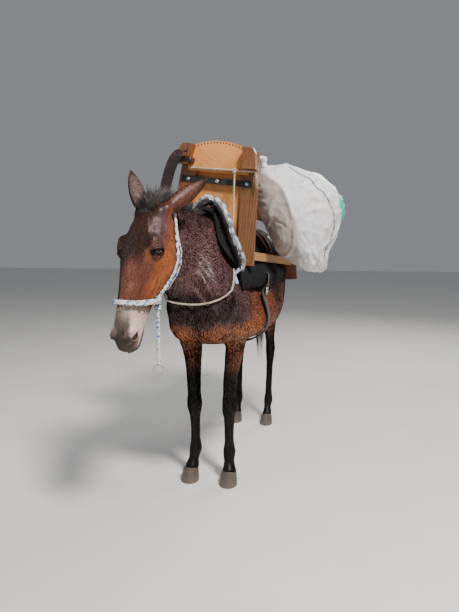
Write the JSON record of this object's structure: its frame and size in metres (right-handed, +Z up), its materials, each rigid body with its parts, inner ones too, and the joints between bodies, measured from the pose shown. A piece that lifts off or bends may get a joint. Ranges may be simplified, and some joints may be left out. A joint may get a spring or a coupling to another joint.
{
  "type": "pack mule",
  "caption": "Life-size still model of a live bay mule that stands with its head lowered, in a rope halter and a wooden pack saddle that carries a woven sack.",
  "frame": {"origin": "middle of the model's bounding box on the ground plane, under the hooves", "axes": "+Z up, the mule faces -Y, its own left side is +X; the length from muzzle to tail runs along Y"},
  "size_m": [1.0784, 2.0924, 1.8545],
  "materials": {
    "bay_hide": "short bay fur, dark on the neck and back, tan on the low chest, black below the knees",
    "black_hair": "coarse black hair in locks, greying on the crest",
    "hoof_horn": "grey-brown hoof horn, dry and dusty",
    "dark_eye": "wet and glossy",
    "white_rope": "braided white cord, blue flecks on the noseband",
    "green_cord": "braided green cord",
    "tan_rope": "worn natural fibre rope",
    "honey_wood": "varnished honey-coloured planks with plain grain",
    "red_brown_wood": "stained red-brown planks",
    "black_iron": "blackened flat iron",
    "pale_steel": "pale worn steel",
    "brass": "dull brass",
    "black_felt": "thick black felt",
    "quilted_cloth": "grey quilted cloth with a dark stitched edge",
    "maroon_leather": "dark maroon strap leather",
    "black_webbing": "flat black webbing",
    "woven_plastic": "white-grey woven sacking",
    "green_plastic": "green woven sacking"
  },
  "bodies": {
    "root": {"torso": "bay_hide", "neck": "bay_hide", "head": "bay_hide", "ear_left": "bay_hide", "ear_right": "bay_hide", "foreleg_left": "bay_hide", "foreleg_right": "bay_hide", "hindleg_left": "bay_hide", "hindleg_right": "bay_hide", "mane": "black_hair", "forelock": "black_hair", "tail": "black_hair", "hoof_fore_left": "hoof_horn", "hoof_fore_right": "hoof_horn", "hoof_hind_left": "hoof_horn", "hoof_hind_right": "hoof_horn", "eye_left": "dark_eye", "eye_right": "dark_eye", "halter_noseband": "white_rope", "halter_cheek_left": "white_rope", "halter_throat_cord": "white_rope", "halter_chin_rope": "white_rope", "halter_cheek_right": "green_cord", "breast_rope": "tan_rope", "lash_rope_front": "tan_rope", "hanging_rope": "tan_rope", "front_plank_left": "honey_wood", "front_plank_right": "honey_wood", "front_horn_left": "honey_wood", "front_horn_right": "honey_wood", "front_top_panel": "honey_wood", "front_back_board": "honey_wood", "rail_lower_left": "honey_wood", "rail_lower_right": "honey_wood", "rail_upper_left": "honey_wood", "rail_upper_right": "honey_wood", "rear_plank_left": "red_brown_wood", "rear_plank_right": "red_brown_wood", "rear_panel": "red_brown_wood", "front_iron_strap": "black_iron", "front_bolt_1": "pale_steel", "front_bolt_2": "pale_steel", "front_bolt_3": "pale_steel", "halter_ring": "pale_steel", "rope_end_cap": "brass", "saddle_pad": "black_felt", "pad_roll": "quilted_cloth", "leather_sling": "maroon_leather", "girth": "black_webbing", "sack": "woven_plastic", "sack_neck": "woven_plastic", "sack_patch": "green_plastic"}
  },
  "joints": []
}
